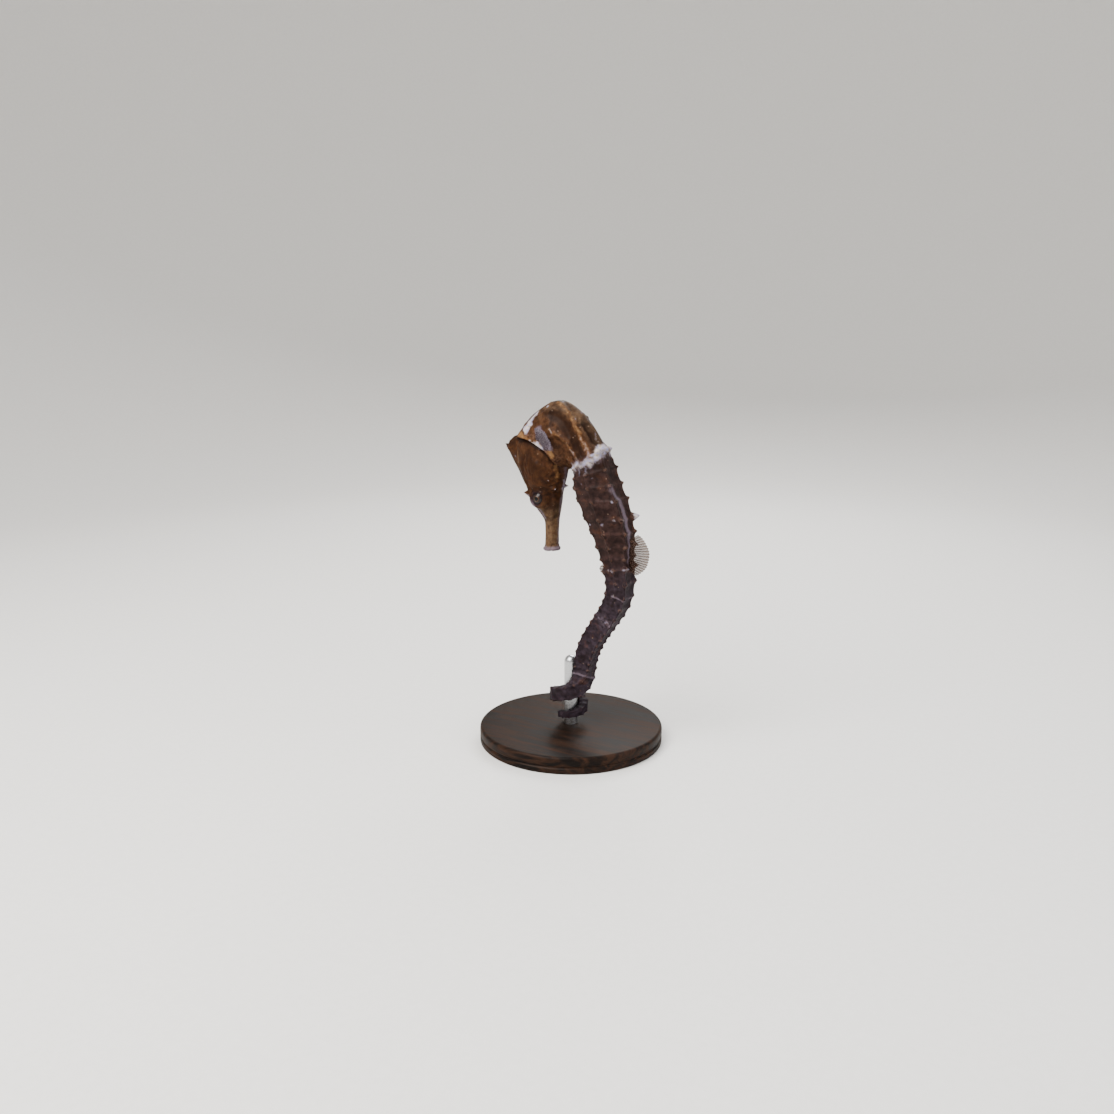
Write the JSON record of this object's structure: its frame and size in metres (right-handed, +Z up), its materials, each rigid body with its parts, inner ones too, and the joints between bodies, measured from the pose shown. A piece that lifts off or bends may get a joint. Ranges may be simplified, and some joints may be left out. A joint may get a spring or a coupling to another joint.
{
  "type": "lined seahorse display model",
  "caption": "Life-size seahorse with bowed neck and drooping head, held upright by its tail coiled round the rod of a plain round display stand.",
  "frame": {"origin": "centre of the stand base's underside, on the rod's axis", "axes": "+Z up; the animal faces -X, with its back towards +X and its left side towards -Y; its median plane is Y = 0 down to the coil of the tail"},
  "size_m": [0.054, 0.054, 0.1],
  "materials": {
    "body_skin": "moist satin skin over bony rings, dark brown with pale marks",
    "head_skin": "moist satin skin, orange-brown with pale saddles",
    "fin": "thin translucent membrane on rays",
    "eye": "glossy dark eye",
    "stand_base": "black-stained turned wood, satin",
    "stand_rod": "brushed"
  },
  "bodies": {
    "root": {"mouth": "head_skin", "snout": "head_skin", "head": "head_skin", "coronet": "head_skin", "eye_left": "eye", "eye_right": "eye", "neck_1": "body_skin", "neck_2": "body_skin", "trunk_1": "body_skin", "trunk_2": "body_skin", "trunk_3": "body_skin", "tail_01": "body_skin", "tail_02": "body_skin", "tail_03": "body_skin", "tail_04": "body_skin", "tail_05": "body_skin", "tail_06": "body_skin", "tail_07": "body_skin", "tail_08": "body_skin", "tail_09": "body_skin", "tail_10": "body_skin", "tail_11": "body_skin", "dorsal_fin": "fin", "anal_fin": "fin", "pectoral_fin_left": "fin", "pectoral_fin_right": "fin", "stand_base": "stand_base", "stand_rod": "stand_rod"}
  },
  "joints": []
}
